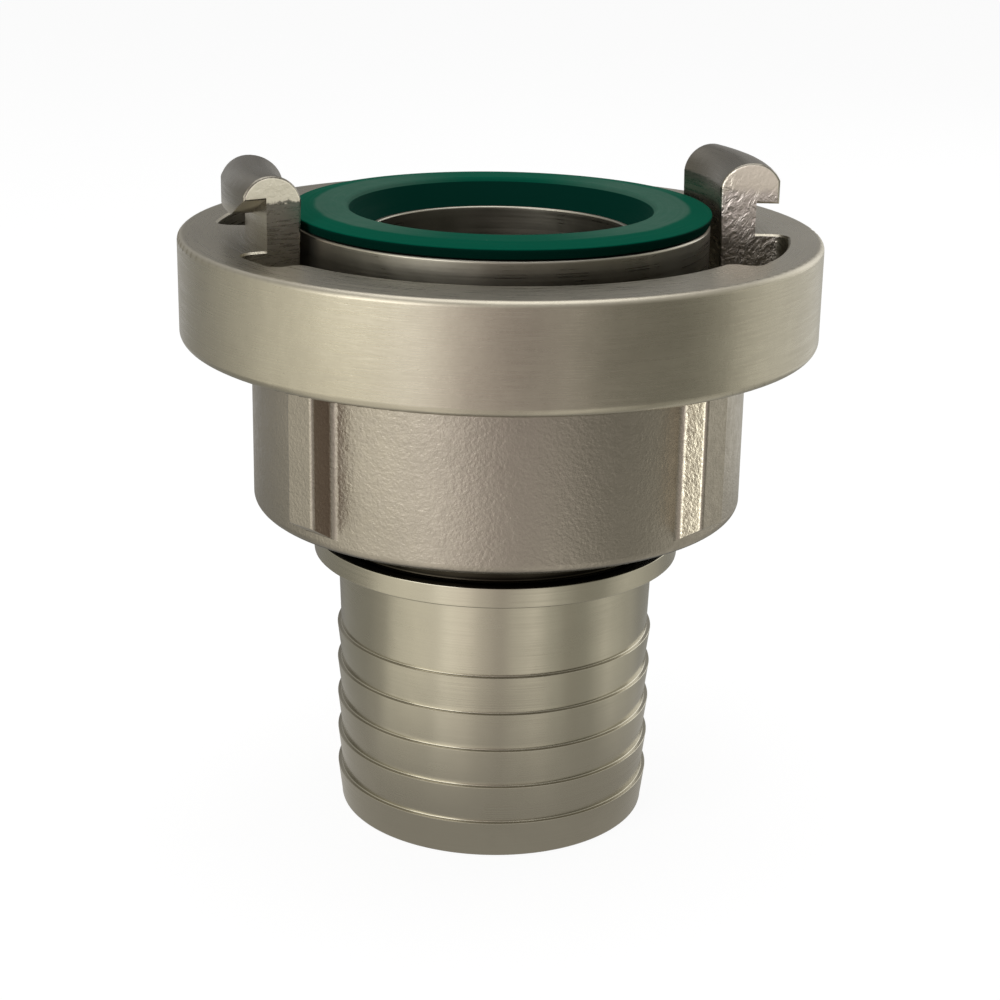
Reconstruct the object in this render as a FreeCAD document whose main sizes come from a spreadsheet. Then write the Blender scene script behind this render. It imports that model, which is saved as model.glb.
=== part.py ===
import FreeCAD, Part
import math
import os
import Sketcher

# Quarter turn two-lug fire hose coupling with a barbed hose tail, in millimetres.
# The origin is the centre of the hose tail's lower end, and +Z runs up the waterway to the seal face.
# Angles are counted round +Z from +X. The first lug's trailing face lies in the XZ plane.

doc = FreeCAD.newDocument("hose_coupling")

# Driving sizes: lengths in mm, angles in degrees
SIZES = [
    # Hose tail, from the waterway outwards
    ("bore_radius", 20.0),
    ("tail_wall", 4.75),
    ("barb_height", 0.65),
    ("barb_count", 5),
    ("barb_pitch", 6.1),
    ("first_crest_height", 5.9),
    ("barb_run", 5.2),
    ("plain_length", 12.7),
    ("plain_swell", 0.45),
    ("relief_step", 1.75),
    ("body_step", 2.5),
    ("head_step", 3.0),
    # Hose tail, from its lower end upwards
    ("shoulder_thickness", 3.2),
    ("relief_length", 11.3),
    ("wire_land", 1.6),
    ("head_height", 25.0),
    ("tail_end_break", 0.5),
    ("bore_edge_break", 0.4),
    ("head_edge_break", 0.35),
    ("shoulder_edge_break", 0.3),
    # Snap ring and its groove
    ("wire_diameter", 3.0),
    ("wire_groove_depth", 1.0),
    ("wire_side_gap", 0.1),
    ("wire_seat_gap", 0.15),
    ("wire_split_angle", 14.0),
    # Seal and its pocket in the head
    ("collar_wall", 2.0),
    ("land_wall", 2.0),
    ("land_drop", 1.9),
    ("pocket_depth", 4.0),
    ("seal_gap", 0.15),
    ("seal_overhang", 0.2),
    ("seal_rise", 2.2),
    ("seal_bevel_width", 3.5),
    ("seal_bevel_drop", 0.5),
    ("seal_edge_height", 0.35),
    ("seal_toe_set", 0.5),
    ("seal_mouth_run", 3.4),
    # Lug ring, from the head outwards
    ("swivel_gap", 0.4),
    ("head_clearance", 2.0),
    ("neck_thickness", 5.0),
    ("lip_clearance", 0.5),
    ("hook_reach", 3.5),
    ("hook_clearance", 1.4),
    ("rim_wall", 5.4),
    ("skirt_wall", 4.4),
    # Lug ring, heights
    ("wire_running_gap", 0.3),
    ("web_thickness", 5.5),
    ("axial_play", 3.0),
    ("web_to_floor", 14.0),
    ("floor_thickness", 4.0),
    ("channel_depth", 12.2),
    ("lip_thickness", 4.45),
    ("ramp_relief", 0.5),
    ("ramp_tilt", 0.9),
    ("ramp_side_land", 0.4),
    ("cavity_depth", 11.0),
    # Lugs
    ("lug_angle", 30.0),
    ("entry_angle", 33.0),
    ("exit_angle", 14.25),
    ("hook_underside", 4.7),
    ("hook_inner_side", 6.9),
    ("hook_outer_side", 8.2),
    ("crown_radius", 4.45),
    ("lead_in_run", 5.6),
    ("lead_in_rise", 2.9),
    ("hook_edge_round", 0.45),
    # Edges of the casting
    ("rim_top_round", 1.0),
    ("rim_lower_round", 1.5),
    ("skirt_end_round", 1.6),
    ("skirt_root_round", 0.8),
    ("window_corner_round", 1.7),
    ("lug_foot_round", 2.4),
    ("lip_corner_round", 2.2),
    ("lip_edge_break", 0.3),
    # Spanner ribs
    ("rib_count", 4),
    ("rib_turn", 48.3),
    ("rib_width", 5.4),
    ("rib_height", 4.2),
    ("rib_bedding", 1.5),
    ("rib_foot_gap", 1.5),
    ("rib_end_slope", 3.5),
    ("rib_edge_round", 0.6),
    ("rib_foot_round", 1.1),
]

LUG_COUNT = 2
OVERCUT = 1.0
# Where the ring's turned profile starts, clear of the lugs, the windows and the ribs
PLAIN_TURN = "0 - 85"


def fill_sheet():
    """Write every driving size as a named cell."""
    sheet = doc.addObject("Spreadsheet::Sheet", "dims")
    for row, (name, value) in enumerate(SIZES, start=1):
        sheet.set("A%d" % row, name)
        sheet.set("B%d" % row, str(value))
        sheet.setAlias("B%d" % row, name)
    doc.recompute()
    return sheet


dims = fill_sheet()


def size(name):
    """Value of one driving size."""
    return float(dims.get(name))


def cell(name):
    """Name of one driving size as an expression."""
    return "<<dims>>.%s" % name


def total(*names):
    """Expression that adds sizes; a name with a leading minus is taken away."""
    text = "0"
    for name in names:
        sign = "-" if name.startswith("-") else "+"
        term = name.lstrip("-")
        text += " %s %s" % (sign, term if term.startswith("(") else cell(term))
    return text


def value_of(text):
    """Value of an expression made of driving sizes."""
    result = dims.evalExpression(text)
    return float(getattr(result, "Value", result))


def grouped(text):
    return "(%s)" % text


# Radii, from the waterway outwards
BORE_R = grouped(cell("bore_radius"))
BARB_ROOT_R = grouped(total("bore_radius", "tail_wall"))
BARB_CREST_R = grouped(total(BARB_ROOT_R, "barb_height"))
PLAIN_TOP_R = grouped(total(BARB_ROOT_R, "plain_swell"))
RELIEF_R = grouped(total(BARB_ROOT_R, "relief_step"))
BODY_R = grouped(total(RELIEF_R, "body_step"))
HEAD_R = grouped(total(BODY_R, "head_step"))
WIRE_GROOVE_R = grouped(total(BODY_R, "-wire_groove_depth"))
WIRE_R = grouped(cell("wire_diameter") + " / 2")
WIRE_RING_R = grouped(total(WIRE_GROOVE_R, "wire_seat_gap", WIRE_R))
SEAL_POCKET_R = grouped(total(HEAD_R, "-collar_wall"))
LAND_R = grouped(total(BORE_R, "land_wall"))
SEAL_R = grouped(total(HEAD_R, "seal_overhang"))
SEAL_CREASE_R = grouped(total(SEAL_R, "-seal_bevel_width"))
SEAL_TOE_R = grouped(total(BORE_R, "seal_toe_set"))
SEAL_MOUTH_R = grouped(total(BORE_R, "seal_mouth_run"))
WEB_BORE_R = grouped(total(BODY_R, "swivel_gap"))
HEAD_BORE_R = grouped(total(HEAD_R, "head_clearance"))
NECK_R = grouped(total(HEAD_BORE_R, "neck_thickness"))
LIP_R = grouped(total(NECK_R, "lip_clearance"))
HOOK_R = grouped(total(NECK_R, "hook_reach"))
CHANNEL_R = grouped(total(HOOK_R, "hook_clearance"))
RIM_R = grouped(total(CHANNEL_R, "rim_wall"))
SKIRT_R = grouped(total(HEAD_BORE_R, "skirt_wall"))
RIB_R = grouped(total(SKIRT_R, "rib_height"))

# Heights, from the hose tail's lower end upwards
LAST_CREST_Z = grouped(
    "%s + (%s - 1) * %s" % (cell("first_crest_height"), cell("barb_count"), cell("barb_pitch"))
)
SHOULDER_Z = grouped(total(LAST_CREST_Z, "plain_length"))
SHOULDER_TOP_Z = grouped(total(SHOULDER_Z, "shoulder_thickness"))
BODY_Z = grouped(total(SHOULDER_TOP_Z, "relief_length"))
WIRE_GROOVE_Z = grouped(total(BODY_Z, "wire_land"))
WIRE_Z = grouped(total(WIRE_GROOVE_Z, "wire_side_gap", WIRE_R))
WIRE_GROOVE_TOP_Z = grouped(total(WIRE_Z, WIRE_R, "wire_side_gap"))
WEB_Z = grouped(total(WIRE_Z, WIRE_R, "wire_running_gap"))
WEB_TOP_Z = grouped(total(WEB_Z, "web_thickness"))
HEAD_Z = grouped(total(WEB_TOP_Z, "axial_play"))
HEAD_TOP_Z = grouped(total(HEAD_Z, "head_height"))
LAND_TOP_Z = grouped(total(HEAD_TOP_Z, "-land_drop"))
POCKET_Z = grouped(total(HEAD_TOP_Z, "-pocket_depth"))
SEAL_TOP_Z = grouped(total(HEAD_TOP_Z, "seal_rise"))
SKIRT_Z = grouped(total(WEB_Z, "-cavity_depth"))
FLOOR_Z = grouped(total(WEB_TOP_Z, "web_to_floor"))
RIM_Z = grouped(total(FLOOR_Z, "-floor_thickness"))
RING_TOP_Z = grouped(total(FLOOR_Z, "channel_depth"))
LIP_Z = grouped(total(RING_TOP_Z, "-lip_thickness"))
HOOK_Z = grouped(total(RING_TOP_Z, "hook_underside"))
RIB_Z = grouped(total(SKIRT_Z, "rib_foot_gap"))


def origin_feature(body, role):
    """The plane or axis of a body's own origin that has this role."""
    return next(item for item in body.Origin.OriginFeatures if item.Role == role)


def new_body(label):
    body = doc.addObject("PartDesign::Body", label)
    body.Label = label
    return body


def new_sketch(body, name, plane="XZ_Plane", turn=None):
    """A sketch on an origin plane of the body, turned round +Z by an expression in degrees."""
    sketch = body.newObject("Sketcher::SketchObject", name)
    sketch.AttachmentSupport = [(origin_feature(body, plane), "")]
    sketch.MapMode = "FlatFace"
    if turn is not None:
        # The sketch's own vertical axis is the body's +Z
        sketch.AttachmentOffset = FreeCAD.Placement(
            FreeCAD.Vector(), FreeCAD.Rotation(FreeCAD.Vector(0, 1, 0), value_of(turn))
        )
        sketch.setExpression("AttachmentOffset.Rotation.Angle", turn)
    return sketch


def bind(sketch, constraint, expression, label):
    """Add a sized constraint and tie it to its expression."""
    index = sketch.addConstraint(constraint)
    sketch.renameConstraint(index, label)
    sketch.setExpression("Constraints." + label, expression)


def arc_through(first, last, radius):
    """An arc from first to last that bulges to the right of the way from first to last."""
    chord = last - first
    middle = (first + last) / 2
    right = FreeCAD.Vector(chord.y, -chord.x, 0).normalize()
    drop = math.sqrt(radius ** 2 - (chord.Length / 2) ** 2)
    top = middle + right * (radius - drop)
    return Part.Arc(first, top, last)


def draw_profile(sketch, corners, arcs=None):
    """A closed outline through the corners, each held by two expressions.

    arcs names the sides, by the number of their first corner, that are arcs, with their radius.
    """
    arcs = arcs or {}
    points = [FreeCAD.Vector(value_of(across), value_of(up), 0) for across, up in corners]
    ends = []
    for number, first in enumerate(points):
        last = points[(number + 1) % len(points)]
        if number in arcs:
            curve = arc_through(first, last, value_of(arcs[number]))
            sketch.addGeometry(curve, False)
            drawn = sketch.Geometry[number]
            forwards = drawn.StartPoint.distanceToPoint(first) < drawn.EndPoint.distanceToPoint(first)
            ends.append((1, 2) if forwards else (2, 1))
        else:
            sketch.addGeometry(Part.LineSegment(first, last), False)
            ends.append((1, 2))
    count = len(points)
    for number in range(count):
        following = (number + 1) % count
        sketch.addConstraint(
            Sketcher.Constraint("Coincident", number, ends[number][1], following, ends[following][0])
        )
    for number, (across, up) in enumerate(corners):
        point = points[number]
        start = ends[number][0]
        bind(
            sketch,
            Sketcher.Constraint("DistanceX", -1, 1, number, start, point.x),
            across,
            "across_%d" % number,
        )
        if up == "0":
            sketch.addConstraint(Sketcher.Constraint("PointOnObject", number, start, -1))
        else:
            bind(
                sketch,
                Sketcher.Constraint("DistanceY", -1, 1, number, start, point.y),
                up,
                "up_%d" % number,
            )
    for number, radius in arcs.items():
        bind(
            sketch,
            Sketcher.Constraint("Radius", number, value_of(radius)),
            radius,
            "radius_%d" % number,
        )


def turned(body, kind, name, sketch, angle="360", backwards=False):
    """Revolve a sketch round +Z by an angle, counted from the sketch's plane."""
    feature = body.newObject(kind, name)
    feature.Profile = sketch
    feature.ReferenceAxis = (sketch, ["V_Axis"])
    feature.setExpression("Angle", angle)
    feature.Reversed = backwards
    sketch.Visibility = False
    doc.recompute()
    return feature


def patterned(body, name, originals, kind, count, **settings):
    """Repeat features of a body and make the pattern its tip."""
    feature = body.newObject(kind, name)
    feature.Originals = originals
    for key, value in settings.items():
        setattr(feature, key, value)
    if isinstance(count, str):
        feature.setExpression("Occurrences", count)
    else:
        feature.Occurrences = count
    body.Tip = feature
    doc.recompute()
    return feature


def flat_radius(point):
    return math.hypot(point.x, point.y)


def middle_of(edge):
    return edge.valueAt((edge.FirstParameter + edge.LastParameter) / 2)


def pick_edges(feature, wanted):
    """Names of the edges of a feature whose ends and middle all pass a test."""
    names = []
    for number, edge in enumerate(feature.Shape.Edges, start=1):
        points = [vertex.Point for vertex in edge.Vertexes] + [middle_of(edge)]
        if all(wanted(point) for point in points):
            names.append("Edge%d" % number)
    return names


def circle_edges(feature, radius, height):
    """Edges that run round +Z at one radius and height."""
    near = 0.02
    return pick_edges(
        feature,
        lambda point: abs(flat_radius(point) - radius) < near and abs(point.z - height) < near,
    )


def dressed(body, kind, name, base, edges, size_name, **settings):
    """Round or chamfer edges of a base feature by one driving size."""
    if not edges:
        raise RuntimeError("no edges for " + name)
    feature = body.newObject(kind, name)
    feature.Base = (base, edges)
    for key, value in settings.items():
        setattr(feature, key, value)
    target = "Radius" if kind.endswith("Fillet") else "Size"
    feature.setExpression(target, cell(size_name))
    body.Tip = feature
    doc.recompute()
    return feature


def make_hose_tail():
    """Turned and barbed hose tail with the head that carries the seal."""
    body = new_body("hose_tail")
    sketch = new_sketch(body, "barrel_profile")
    draw_profile(sketch, [
        (BORE_R, "0"),
        (BARB_ROOT_R, "0"),
        (BARB_ROOT_R, LAST_CREST_Z),
        (PLAIN_TOP_R, SHOULDER_Z),
        (BODY_R, SHOULDER_Z),
        (BODY_R, SHOULDER_TOP_Z),
        (RELIEF_R, SHOULDER_TOP_Z),
        (RELIEF_R, BODY_Z),
        (BODY_R, BODY_Z),
        (BODY_R, HEAD_Z),
        (HEAD_R, HEAD_Z),
        (HEAD_R, HEAD_TOP_Z),
        (BORE_R, HEAD_TOP_Z),
    ])
    turned(body, "PartDesign::Revolution", "barrel", sketch)

    # One barb: it tapers towards the hose end and steps in above its crest
    sketch = new_sketch(body, "barb_profile")
    draw_profile(sketch, [
        (grouped(total(BARB_ROOT_R, "-barb_height")), total("first_crest_height", "-barb_run")),
        (BARB_ROOT_R, total("first_crest_height", "-barb_run")),
        (BARB_CREST_R, total("first_crest_height")),
        (grouped(total(BARB_ROOT_R, "-barb_height")), total("first_crest_height")),
    ])
    barb = turned(body, "PartDesign::Revolution", "barb", sketch)
    barbs = patterned(
        body, "barbs", [barb], "PartDesign::LinearPattern", cell("barb_count"),
        Direction=(origin_feature(body, "Z_Axis"), [""]),
    )
    barbs.setExpression(
        "Length", "(%s - 1) * %s" % (cell("barb_count"), cell("barb_pitch"))
    )
    doc.recompute()

    # Groove for the snap ring
    sketch = new_sketch(body, "wire_groove_profile")
    outside = grouped(total(BODY_R, "wire_groove_depth"))
    draw_profile(sketch, [
        (WIRE_GROOVE_R, WIRE_GROOVE_Z),
        (outside, WIRE_GROOVE_Z),
        (outside, WIRE_GROOVE_TOP_Z),
        (WIRE_GROOVE_R, WIRE_GROOVE_TOP_Z),
    ])
    turned(body, "PartDesign::Groove", "wire_groove", sketch)

    # Pocket for the seal, with a low land round the waterway
    sketch = new_sketch(body, "seal_pocket_profile")
    above = "%s + %s" % (HEAD_TOP_Z, OVERCUT)
    inside = "%s - %s" % (BORE_R, OVERCUT)
    draw_profile(sketch, [
        (inside, LAND_TOP_Z),
        (LAND_R, LAND_TOP_Z),
        (LAND_R, POCKET_Z),
        (SEAL_POCKET_R, POCKET_Z),
        (SEAL_POCKET_R, above),
        (inside, above),
    ])
    pocket = turned(body, "PartDesign::Groove", "seal_pocket", sketch)

    bore = value_of(BORE_R)
    edges = circle_edges(pocket, bore, value_of(LAND_TOP_Z)) + circle_edges(pocket, bore, 0)
    breaks = dressed(body, "PartDesign::Chamfer", "bore_edges", pocket, edges, "bore_edge_break")
    edges = circle_edges(breaks, value_of(BARB_ROOT_R), 0)
    breaks = dressed(body, "PartDesign::Chamfer", "tail_end", breaks, edges, "tail_end_break")
    head_r = value_of(HEAD_R)
    edges = circle_edges(breaks, head_r, value_of(HEAD_TOP_Z))
    edges += circle_edges(breaks, head_r, value_of(HEAD_Z))
    breaks = dressed(body, "PartDesign::Chamfer", "head_edges", breaks, edges, "head_edge_break")
    body_r = value_of(BODY_R)
    edges = circle_edges(breaks, body_r, value_of(SHOULDER_TOP_Z))
    edges += circle_edges(breaks, body_r, value_of(SHOULDER_Z))
    dressed(body, "PartDesign::Chamfer", "shoulder_edges", breaks, edges, "shoulder_edge_break")
    return body


def make_face_seal():
    """Green elastomer ring that stands proud of the head and hangs over it a little."""
    body = new_body("face_seal")
    sketch = new_sketch(body, "seal_profile")
    inner_side = grouped(total(LAND_R, "seal_gap"))
    outer_side = grouped(total(SEAL_POCKET_R, "-seal_gap"))
    seat = grouped(total(HEAD_TOP_Z, "seal_gap"))
    bevel_foot = grouped(total(SEAL_TOP_Z, "-seal_bevel_drop"))
    draw_profile(sketch, [
        (SEAL_TOE_R, LAND_TOP_Z),
        (inner_side, LAND_TOP_Z),
        (inner_side, POCKET_Z),
        (outer_side, POCKET_Z),
        (outer_side, seat),
        (grouped(total(HEAD_R, "-seal_gap")), seat),
        (SEAL_R, grouped(total(bevel_foot, "-seal_edge_height"))),
        (SEAL_R, bevel_foot),
        (SEAL_CREASE_R, SEAL_TOP_Z),
        (SEAL_MOUTH_R, SEAL_TOP_Z),
    ])
    turned(body, "PartDesign::Revolution", "seal", sketch)
    return body


def make_snap_ring():
    """Split ring of round wire that holds the lug ring on the tail."""
    body = new_body("snap_ring")
    sketch = new_sketch(body, "wire_section")
    centre = FreeCAD.Vector(value_of(WIRE_RING_R), value_of(WIRE_Z), 0)
    radius = value_of(WIRE_R)
    sketch.addGeometry(Part.Circle(centre, FreeCAD.Vector(0, 0, 1), radius), False)
    bind(sketch, Sketcher.Constraint("Radius", 0, radius), WIRE_R, "wire_radius")
    bind(sketch, Sketcher.Constraint("DistanceX", -1, 1, 0, 3, centre.x), WIRE_RING_R, "ring_radius")
    bind(sketch, Sketcher.Constraint("DistanceY", -1, 1, 0, 3, centre.y), WIRE_Z, "ring_height")
    turned(body, "PartDesign::Revolution", "wire", sketch, "360 - " + cell("wire_split_angle"))
    return body


def draw_ramp_sector(sketch, start, finish, inner, outer):
    """A ring sector round the sketch's origin, between two angles and two radii."""
    centre = FreeCAD.Vector()
    up = FreeCAD.Vector(0, 0, 1)
    low = math.radians(value_of(start))
    high = math.radians(value_of(finish))
    small = value_of(inner)
    large = value_of(outer)

    def at(radius, angle):
        return FreeCAD.Vector(radius * math.cos(angle), radius * math.sin(angle), 0)

    sketch.addGeometry(Part.ArcOfCircle(Part.Circle(centre, up, large), low, high), False)
    sketch.addGeometry(Part.LineSegment(at(large, high), at(small, high)), False)
    sketch.addGeometry(Part.ArcOfCircle(Part.Circle(centre, up, small), low, high), False)
    sketch.addGeometry(Part.LineSegment(at(small, low), at(large, low)), False)
    for arc in (0, 2):
        sketch.addConstraint(Sketcher.Constraint("Coincident", arc, 3, -1, 1))
    sketch.addConstraint(Sketcher.Constraint("Coincident", 0, 2, 1, 1))
    sketch.addConstraint(Sketcher.Constraint("Coincident", 1, 2, 2, 2))
    sketch.addConstraint(Sketcher.Constraint("Coincident", 2, 1, 3, 1))
    sketch.addConstraint(Sketcher.Constraint("Coincident", 3, 2, 0, 1))
    bind(sketch, Sketcher.Constraint("Radius", 0, large), outer, "outer_radius")
    bind(sketch, Sketcher.Constraint("Radius", 2, small), inner, "inner_radius")
    for side, angle, label in ((3, low, "start_side"), (1, high, "finish_side")):
        foot = at(large, angle)
        end = 2 if side == 3 else 1
        text = start if side == 3 else finish
        bind(
            sketch, Sketcher.Constraint("DistanceX", -1, 1, side, end, foot.x),
            "%s * cos(%s * 1 deg)" % (outer, grouped(text)), label,
        )
        point = at(small, angle)
        end = 1 if side == 3 else 2
        bind(
            sketch, Sketcher.Constraint("DistanceX", -1, 1, side, end, point.x),
            "%s * cos(%s * 1 deg)" % (inner, grouped(text)), label + "_foot",
        )


def make_lug_ring():
    """Cast ring: rim with two lips, two hooked lugs, and a skirt with spanner ribs."""
    body = new_body("lug_ring")
    sketch = new_sketch(body, "ring_profile", turn=PLAIN_TURN)
    draw_profile(sketch, [
        (LIP_R, RING_TOP_Z),
        (LIP_R, LIP_Z),
        (CHANNEL_R, LIP_Z),
        (CHANNEL_R, FLOOR_Z),
        (HEAD_BORE_R, FLOOR_Z),
        (HEAD_BORE_R, WEB_TOP_Z),
        (WEB_BORE_R, WEB_TOP_Z),
        (WEB_BORE_R, WEB_Z),
        (HEAD_BORE_R, WEB_Z),
        (HEAD_BORE_R, SKIRT_Z),
        (SKIRT_R, SKIRT_Z),
        (SKIRT_R, RIM_Z),
        (RIM_R, RIM_Z),
        (RIM_R, RING_TOP_Z),
    ])
    ring = turned(body, "PartDesign::Revolution", "ring_turning", sketch)

    # Windows in the lip on both sides of a lug: a mating hook drops in at the entry
    low = grouped("%s - %s" % (LIP_Z, OVERCUT))
    high = grouped("%s + %s" % (RING_TOP_Z, OVERCUT))
    near = grouped("%s - %s" % (LIP_R, OVERCUT))
    window = [(near, low), (CHANNEL_R, low), (CHANNEL_R, high), (near, high)]
    sketch = new_sketch(body, "entry_profile")
    draw_profile(sketch, window)
    entry = turned(body, "PartDesign::Groove", "entry_window", sketch, cell("entry_angle"), True)
    sketch = new_sketch(body, "exit_profile")
    draw_profile(sketch, window)
    lug_and_exit = total("lug_angle", "exit_angle")
    exit_window = turned(body, "PartDesign::Groove", "exit_window", sketch, lug_and_exit, False)

    # Lug: root block in the rim, neck, and a hook with a round crown that reaches outwards
    sketch = new_sketch(body, "lug_profile")
    root_r = grouped(total(CHANNEL_R, "hook_clearance"))
    draw_profile(sketch, [
        (HEAD_BORE_R, grouped("%s - %s" % (FLOOR_Z, OVERCUT))),
        (root_r, grouped("%s - %s" % (FLOOR_Z, OVERCUT))),
        (root_r, RING_TOP_Z),
        (NECK_R, RING_TOP_Z),
        (NECK_R, HOOK_Z),
        (HOOK_R, HOOK_Z),
        (HOOK_R, grouped(total(RING_TOP_Z, "hook_outer_side"))),
        (HEAD_BORE_R, grouped(total(RING_TOP_Z, "hook_inner_side"))),
    ], arcs={6: cell("crown_radius")})
    lug = turned(body, "PartDesign::Revolution", "lug", sketch, cell("lug_angle"))
    # Lead-in: the hook's underside rises towards the end that enters the mating rim first
    sketch = new_sketch(body, "lead_in_profile", "YZ_Plane", turn=cell("lug_angle"))
    sketch.setExpression("AttachmentOffset.Base.x", "%s * sin(%s * 1 deg)" % (NECK_R, cell("lug_angle")))
    sketch.setExpression("AttachmentOffset.Base.z", "%s * cos(%s * 1 deg)" % (NECK_R, cell("lug_angle")))
    slope = "%s * (1 + %s / %s)" % (cell("lead_in_rise"), OVERCUT, cell("lead_in_run"))
    below = "%s - %s" % (HOOK_Z, OVERCUT)
    draw_profile(sketch, [
        ("0 - " + cell("lead_in_run"), HOOK_Z),
        ("0 - " + cell("lead_in_run"), below),
        (str(OVERCUT), below),
        (str(OVERCUT), "%s + %s" % (HOOK_Z, slope)),
    ])
    lead_in = body.newObject("PartDesign::Pocket", "lead_in")
    lead_in.Profile = sketch
    lead_in.Reversed = True
    lead_in.setExpression("Length", total("hook_reach", "hook_clearance"))
    sketch.Visibility = False
    doc.recompute()

    pair = patterned(
        body, "both_sides", [entry, exit_window, lug, lead_in], "PartDesign::PolarPattern",
        LUG_COUNT, Axis=(origin_feature(body, "Z_Axis"), [""]), Angle=360,
    )
    cast = round_ring_edges(body, pair)
    cast = round_window_corners(body, cast)
    round_lug_edges(body, cast)
    cut_lip_ramps(body, near, lug_and_exit)
    add_ribs(body)
    return body


def lug_turn(point):
    """Angle round +Z in degrees, the same for both lugs, from -90 to 90."""
    angle = math.degrees(math.atan2(point.y, point.x)) % 180
    return angle - 180 if angle > 90 else angle


def round_ring_edges(body, base):
    """Rounded outer edges of the rim and the skirt."""
    rim_r = value_of(RIM_R)
    skirt_r = value_of(SKIRT_R)
    top = circle_edges(base, rim_r, value_of(RING_TOP_Z))
    base = dressed(body, "PartDesign::Fillet", "rim_top", base, top, "rim_top_round")
    lower = circle_edges(base, rim_r, value_of(RIM_Z))
    base = dressed(body, "PartDesign::Fillet", "rim_lower", base, lower, "rim_lower_round")
    end = circle_edges(base, skirt_r, value_of(SKIRT_Z))
    base = dressed(body, "PartDesign::Fillet", "skirt_end", base, end, "skirt_end_round")
    return base


def upright_edges(feature, radius, angle, low, high):
    """Upright edges at one radius and one angle of both lugs, between two heights."""
    near = 0.05
    return pick_edges(
        feature,
        lambda point: abs(flat_radius(point) - radius) < near
        and abs(lug_turn(point) - angle) < near
        and low - near < point.z < high + near,
    )


def round_window_corners(body, base):
    """Rounded corners of the windows, in plan."""
    channel = value_of(CHANNEL_R)
    lip = value_of(LIP_R)
    top = value_of(RING_TOP_Z)
    floor = value_of(FLOOR_Z)
    entry_end = -value_of(cell("entry_angle"))
    exit_end = value_of(total("lug_angle", "exit_angle"))
    lug_end = value_of(cell("lug_angle"))
    feet = upright_edges(base, channel, 0.0, floor, top)
    feet += upright_edges(base, channel, lug_end, floor, top)
    base = dressed(body, "PartDesign::Fillet", "lug_feet", base, feet, "lug_foot_round")
    tips = upright_edges(base, lip, entry_end, floor, top)
    tips += upright_edges(base, lip, exit_end, floor, top)
    base = dressed(body, "PartDesign::Fillet", "lip_tips", base, tips, "lip_corner_round")
    corners = upright_edges(base, channel, entry_end, floor, top)
    corners += upright_edges(base, channel, exit_end, floor, top)
    base = dressed(body, "PartDesign::Fillet", "window_corners", base, corners, "window_corner_round")
    rims = circle_edges(base, lip, top)
    base = dressed(body, "PartDesign::Chamfer", "lip_edges", base, rims, "lip_edge_break")
    return base


def round_lug_edges(body, base):
    """Softened edges round both end faces of each lug, from the channel floor over the hook."""
    lug_end = value_of(cell("lug_angle"))
    floor = value_of(FLOOR_Z)
    top = value_of(RING_TOP_Z)
    bore = value_of(HEAD_BORE_R)
    neck = value_of(NECK_R)
    near = 0.05

    def on_end_face(point):
        angle = lug_turn(point)
        return point.z > floor - near and (abs(angle) < near or abs(angle - lug_end) < near)

    edges = []
    for name in pick_edges(base, on_end_face):
        middle = middle_of(base.Shape.getElement(name))
        on_bore = abs(flat_radius(middle) - bore) < near
        on_neck = abs(flat_radius(middle) - neck) < near
        if on_bore or (middle.z > top + near and not on_neck):
            edges.append(name)
    return dressed(body, "PartDesign::Fillet", "hook_edges", base, edges, "hook_edge_round")


def cut_lip_ramps(body, inner, lug_and_exit):
    """Slope the lips' undersides, so that a mating hook is drawn in as it turns."""
    past = 5.0
    sketch = new_sketch(body, "ramp_outline", "XY_Plane")
    tilt = FreeCAD.Rotation(FreeCAD.Vector(0, -1, 0), size("ramp_tilt"))
    height = grouped(total(LIP_Z, "ramp_relief"))
    sketch.AttachmentOffset = FreeCAD.Placement(FreeCAD.Vector(0, 0, value_of(height)), tilt)
    sketch.setExpression("AttachmentOffset.Base.z", height)
    sketch.setExpression("AttachmentOffset.Rotation.Angle", cell("ramp_tilt"))
    draw_ramp_sector(
        sketch,
        "%s - 180 - %s" % (grouped(lug_and_exit), past),
        "%s - %s" % (past, cell("entry_angle")),
        inner,
        grouped(total(CHANNEL_R, "-ramp_side_land")),
    )
    ramp = body.newObject("PartDesign::Pocket", "lip_ramp")
    ramp.Profile = sketch
    ramp.UseCustomVector = True
    ramp.Direction = FreeCAD.Vector(0, 0, -1)
    ramp.setExpression("Length", total("lip_thickness"))
    sketch.Visibility = False
    doc.recompute()
    patterned(
        body, "lip_ramps", [ramp], "PartDesign::PolarPattern", LUG_COUNT,
        Axis=(origin_feature(body, "Z_Axis"), [""]), Angle=360,
    )


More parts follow.
